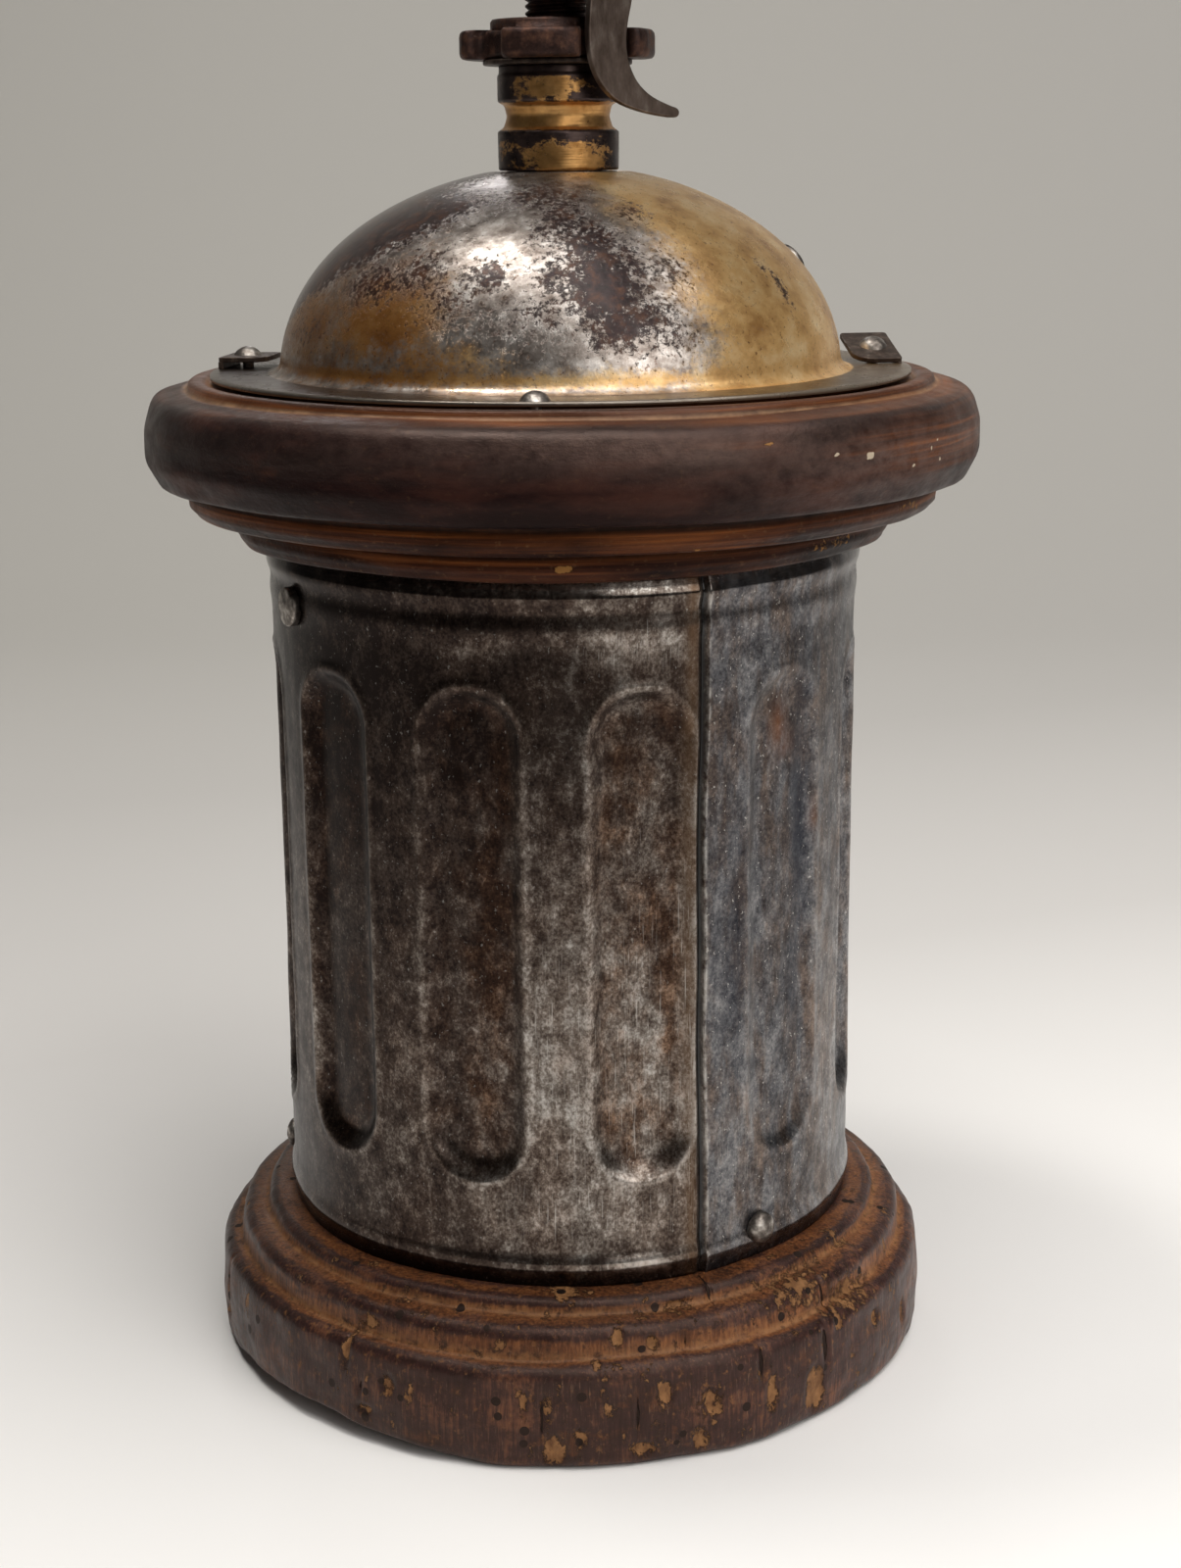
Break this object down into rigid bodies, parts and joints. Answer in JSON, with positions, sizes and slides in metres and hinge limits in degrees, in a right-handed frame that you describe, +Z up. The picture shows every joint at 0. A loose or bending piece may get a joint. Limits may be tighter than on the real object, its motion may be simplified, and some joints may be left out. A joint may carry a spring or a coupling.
{
  "type": "hand coffee grinder",
  "caption": "Hand coffee mill: turned wooden base and cornice, fluted tin body with a drawer, domed hopper with a turning door, and a crank on a grinding spindle.",
  "frame": {"origin": "middle of the base's underside, on the spindle's axis", "axes": "+Z up along the spindle, -Y the side with the body's lap seam, +Y the drawer's side"},
  "size_m": [0.1441, 0.1744, 0.2881],
  "materials": {
    "stained_wood": "semi-gloss dark stain, worn",
    "bare_wood": "bare, unfinished",
    "dark_tinplate": "tarnished tin plate with vertical scratches",
    "tray_tinplate": "dull tin plate",
    "aged_brass_sheet": "spun sheet brass with brown patina",
    "aged_brass": "turned brass with dark patina",
    "rusty_steel": "forged steel with brown rust",
    "dark_steel": "worn dark steel",
    "burr_iron": "bare cast iron"
  },
  "bodies": {
    "housing": {"base_plinth": "stained_wood", "body_shell": "dark_tinplate", "body_nails": "dark_steel", "cornice_ring": "stained_wood", "dome_hopper": "aged_brass_sheet", "flange_nails": "dark_steel", "door_guide_left": "dark_steel", "door_guide_right": "dark_steel", "guide_nails": "dark_steel", "neck_bush": "aged_brass", "bush_nut": "aged_brass", "thrust_washer": "dark_steel", "ring_burr": "burr_iron", "ring_burr_screws": "dark_steel", "bridge": "rusty_steel", "bridge_bush": "aged_brass", "bridge_screws": "dark_steel", "drawer_runner_left": "bare_wood", "drawer_runner_right": "bare_wood"},
    "hopper_door": {"hopper_door": "aged_brass_sheet", "door_knob": "dark_steel"},
    "drawer": {"drawer_tray": "tray_tinplate", "drawer_front": "dark_tinplate", "drawer_knob": "aged_brass", "drawer_knob_nut": "dark_steel"},
    "adjuster": {"star_nut": "rusty_steel"},
    "spindle": {"spindle": "dark_steel", "cone_burr": "burr_iron", "cone_pin": "dark_steel", "crank_arm": "rusty_steel", "crank_washer": "dark_steel", "crank_nut": "dark_steel", "catch_pin": "dark_steel", "knob_pin": "dark_steel", "knob_washer": "dark_steel"},
    "catch": {"adjuster_catch": "dark_steel"},
    "knob": {"crank_knob": "stained_wood"}
  },
  "joints": [
    {"name": "hopper_door_turn", "type": "hinge", "parent": "housing", "child": "hopper_door", "pos_m": [0, 0, 0.1943], "axis": [0, 0, 1], "range_deg": [0, 150]},
    {"name": "drawer_slide", "type": "slide", "parent": "housing", "child": "drawer", "axis": [0, 1, 0], "range_m": [0, 0.06]},
    {"name": "crank_turn", "type": "hinge", "parent": "housing", "child": "adjuster", "pos_m": [0, 0, 0.2118], "axis": [0, 0, 1], "continuous": true},
    {"name": "grind_adjust", "type": "slide", "parent": "adjuster", "child": "spindle", "axis": [0, 0, 1], "range_m": [-0.0015, 0.0006]},
    {"name": "catch_swing", "type": "hinge", "parent": "spindle", "child": "catch", "pos_m": [0.00783, -0.01161, 0.22423], "axis": [-0.829, -0.5592, 0], "range_deg": [0, 40]},
    {"name": "knob_spin", "type": "hinge", "parent": "spindle", "child": "knob", "pos_m": [0.06263, -0.09285, 0.2458], "axis": [0, 0, 1], "continuous": true}
  ]
}
